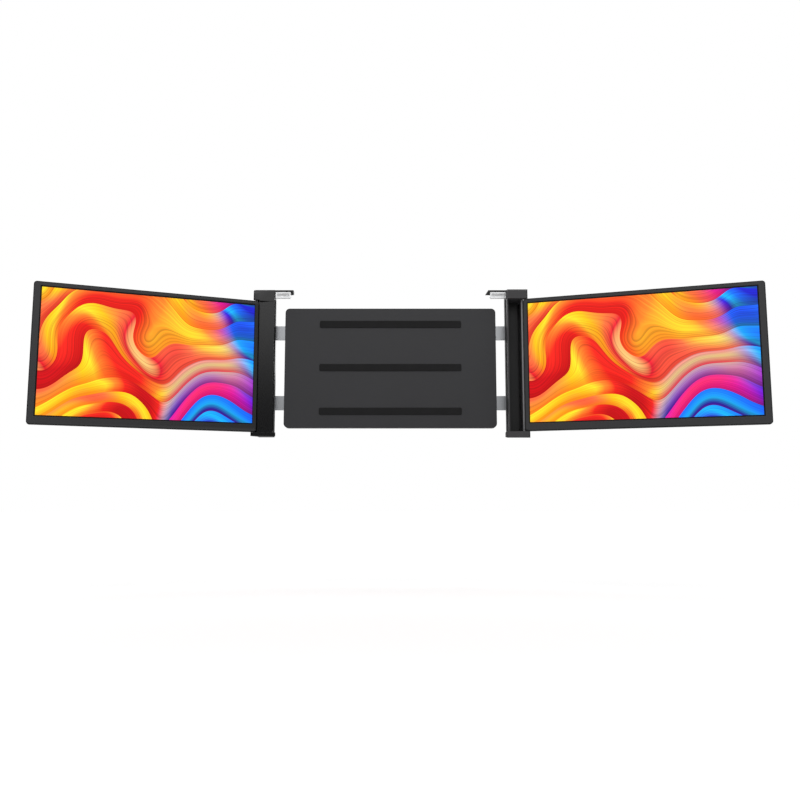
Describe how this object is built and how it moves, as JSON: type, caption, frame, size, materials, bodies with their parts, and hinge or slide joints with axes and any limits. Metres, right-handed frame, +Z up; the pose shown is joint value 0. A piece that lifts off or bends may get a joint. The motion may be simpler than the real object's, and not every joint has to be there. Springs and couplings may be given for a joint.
{
  "type": "laptop screen extender",
  "caption": "Two hinged side displays on telescopic brackets with sliding top hooks that hang on a laptop lid, with a fold-out rear stand.",
  "frame": {"origin": "Centre of the pads that press on the back of the laptop lid, at the mount lid_seat.", "axes": "+Z runs up along the lid, -Y points from the lid towards the person and +X to the right as the person sees it."},
  "size_m": [0.9395, 0.1345, 0.2107],
  "materials": {
    "frame_plastic": "fine matte, near black",
    "cover_plastic": "satin, near black",
    "bezel_plastic": "fine matte, dark grey",
    "shell_plastic": "fine matte",
    "button_plastic": "satin",
    "clip_black": "satin black",
    "clip_silver": "brushed",
    "aluminium": "satin",
    "steel": "zinc plated",
    "hinge_steel": "blackened",
    "silicone": "soft matte",
    "display_glass": "flat panel, lit picture",
    "circuit_board": "solder mask",
    "ribbon_film": "film"
  },
  "bodies": {
    "support": {"support_front": "frame_plastic", "support_rear": "frame_plastic", "lid_pads": "silicone", "guide_top": "aluminium", "guide_bottom": "aluminium", "support_screws": "steel", "kickstand_pin": "steel"},
    "stand": {"kickstand": "frame_plastic", "kickstand_pad": "silicone"},
    "left_bracket": {"left_slide": "aluminium", "left_frame": "frame_plastic", "left_cover": "cover_plastic", "left_pins": "steel", "left_side_pad": "silicone", "left_frame_screws": "steel"},
    "left_clip": {"left_clip_arm": "clip_black", "left_clip_jaw": "clip_silver", "left_clip_pad": "silicone"},
    "left_screen": {"left_bezel": "bezel_plastic", "left_display": "display_glass", "left_backlight": "steel", "left_board": "circuit_board", "left_ribbon": "ribbon_film", "left_shell": "shell_plastic", "left_hinge_bar": "hinge_steel", "left_usb_ports": "steel", "left_hdmi_port": "steel", "left_shell_screws": "hinge_steel"},
    "left_power_button": {"left_power_button": "button_plastic"},
    "left_plus_button": {"left_plus_button": "button_plastic"},
    "left_minus_button": {"left_minus_button": "button_plastic"},
    "right_bracket": {"right_slide": "aluminium", "right_frame": "frame_plastic", "right_liner": "cover_plastic", "right_pins": "steel", "right_side_pad": "silicone", "right_frame_screws": "steel"},
    "right_clip": {"right_clip_arm": "clip_black", "right_clip_jaw": "clip_silver", "right_clip_pad": "silicone"},
    "right_screen": {"right_bezel": "bezel_plastic", "right_display": "display_glass", "right_backlight": "steel", "right_board": "circuit_board", "right_ribbon": "ribbon_film", "right_shell": "shell_plastic", "right_hinge_bar": "hinge_steel", "right_usb_ports": "steel", "right_hdmi_port": "steel", "right_shell_screws": "hinge_steel"},
    "right_power_button": {"right_power_button": "button_plastic"},
    "right_plus_button": {"right_plus_button": "button_plastic"},
    "right_minus_button": {"right_minus_button": "button_plastic"}
  },
  "joints": [
    {"name": "left_bracket_slide", "type": "slide", "parent": "support", "child": "left_bracket", "axis": [-1, 0, 0], "range_m": [-0.012, 0.028]},
    {"name": "left_clip_slide", "type": "slide", "parent": "left_bracket", "child": "left_clip", "axis": [-1, 0, 0], "range_m": [0, 0.014]},
    {"name": "left_screen_hinge", "type": "hinge", "parent": "left_bracket", "child": "left_screen", "pos_m": [-0.188, -0.0129, 0], "axis": [0, 0, 1], "range_deg": [-21.5, 158.5]},
    {"name": "left_power_button_press", "type": "slide", "parent": "left_screen", "child": "left_power_button", "axis": [0.9304, 0.3665, 0], "range_m": [0, 0.0008], "stiffness_N_per_m": 900, "springref_m": -0.0006},
    {"name": "left_plus_button_press", "type": "slide", "parent": "left_screen", "child": "left_plus_button", "axis": [0.9304, 0.3665, 0], "range_m": [0, 0.0008], "stiffness_N_per_m": 900, "springref_m": -0.0006},
    {"name": "left_minus_button_press", "type": "slide", "parent": "left_screen", "child": "left_minus_button", "axis": [0.9304, 0.3665, 0], "range_m": [0, 0.0008], "stiffness_N_per_m": 900, "springref_m": -0.0006},
    {"name": "right_bracket_slide", "type": "slide", "parent": "support", "child": "right_bracket", "axis": [1, 0, 0], "range_m": [-0.012, 0.028]},
    {"name": "right_clip_slide", "type": "slide", "parent": "right_bracket", "child": "right_clip", "axis": [1, 0, 0], "range_m": [0, 0.014]},
    {"name": "right_screen_hinge", "type": "hinge", "parent": "right_bracket", "child": "right_screen", "pos_m": [0.188, -0.0247, 0], "axis": [0, 0, -1], "range_deg": [-17.9, 162.1]},
    {"name": "right_power_button_press", "type": "slide", "parent": "right_screen", "child": "right_power_button", "axis": [-0.9516, 0.3074, 0], "range_m": [0, 0.0008], "stiffness_N_per_m": 900, "springref_m": -0.0006},
    {"name": "right_plus_button_press", "type": "slide", "parent": "right_screen", "child": "right_plus_button", "axis": [-0.9516, 0.3074, 0], "range_m": [0, 0.0008], "stiffness_N_per_m": 900, "springref_m": -0.0006},
    {"name": "right_minus_button_press", "type": "slide", "parent": "right_screen", "child": "right_minus_button", "axis": [-0.9516, 0.3074, 0], "range_m": [0, 0.0008], "stiffness_N_per_m": 900, "springref_m": -0.0006},
    {"name": "stand_hinge", "type": "hinge", "parent": "support", "child": "stand", "pos_m": [0, 0.0113, 0.033], "axis": [1, 0, 0], "range_deg": [0, 70]}
  ]
}
